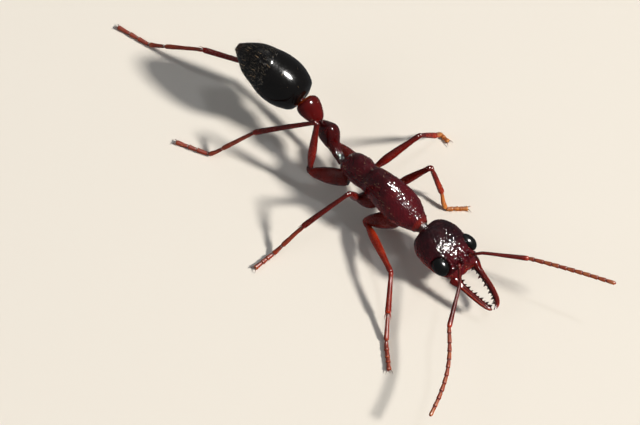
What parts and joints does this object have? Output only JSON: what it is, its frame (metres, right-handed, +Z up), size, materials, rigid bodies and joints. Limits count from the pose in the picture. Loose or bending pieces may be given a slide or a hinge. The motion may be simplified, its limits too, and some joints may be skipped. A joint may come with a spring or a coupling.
{
  "type": "bull ant",
  "caption": "Life-size bull ant worker with long toothed jaws, big dark eyes, maroon body, red waist and black gaster, standing on its legs with its feelers spread.",
  "frame": {"origin": "the middle of the object's box, on the floor that the feet stand on", "axes": "+Y from the head towards the gaster, +X to the ant's left, +Z up"},
  "size_m": [0.0142, 0.0328, 0.0056],
  "materials": {
    "maroon_shell": "rough-sculptured dark maroon shell",
    "red_shell": "smooth, glossy blood-red shell",
    "black_shell": "smooth, glossy black shell",
    "eye_black": "polished black",
    "leg_red": "glossy red-brown shell",
    "foot_orange": "satin orange-brown shell"
  },
  "bodies": {
    "root": {"head": "maroon_shell", "eye_left": "eye_black", "eye_right": "eye_black", "mandible_left": "red_shell", "mandible_right": "red_shell", "scape_left": "leg_red", "scape_right": "leg_red", "funiculus_left": "foot_orange", "funiculus_right": "foot_orange", "pronotum": "maroon_shell", "mesothorax": "maroon_shell", "propodeum": "maroon_shell", "petiole": "red_shell", "postpetiole": "red_shell", "gaster_1": "black_shell", "gaster_2": "black_shell", "gaster_3": "black_shell", "gaster_4": "black_shell", "coxa_fore_left": "leg_red", "coxa_fore_right": "leg_red", "coxa_mid_left": "leg_red", "coxa_mid_right": "leg_red", "coxa_hind_left": "leg_red", "coxa_hind_right": "leg_red", "femur_fore_left": "leg_red", "femur_fore_right": "leg_red", "femur_mid_left": "leg_red", "femur_mid_right": "leg_red", "femur_hind_left": "leg_red", "femur_hind_right": "leg_red", "tibia_fore_left": "leg_red", "tibia_fore_right": "leg_red", "tibia_mid_left": "leg_red", "tibia_mid_right": "leg_red", "tibia_hind_left": "leg_red", "tibia_hind_right": "leg_red", "tarsus_fore_left": "foot_orange", "tarsus_fore_right": "foot_orange", "tarsus_mid_left": "foot_orange", "tarsus_mid_right": "foot_orange", "tarsus_hind_left": "foot_orange", "tarsus_hind_right": "foot_orange"}
  },
  "joints": []
}
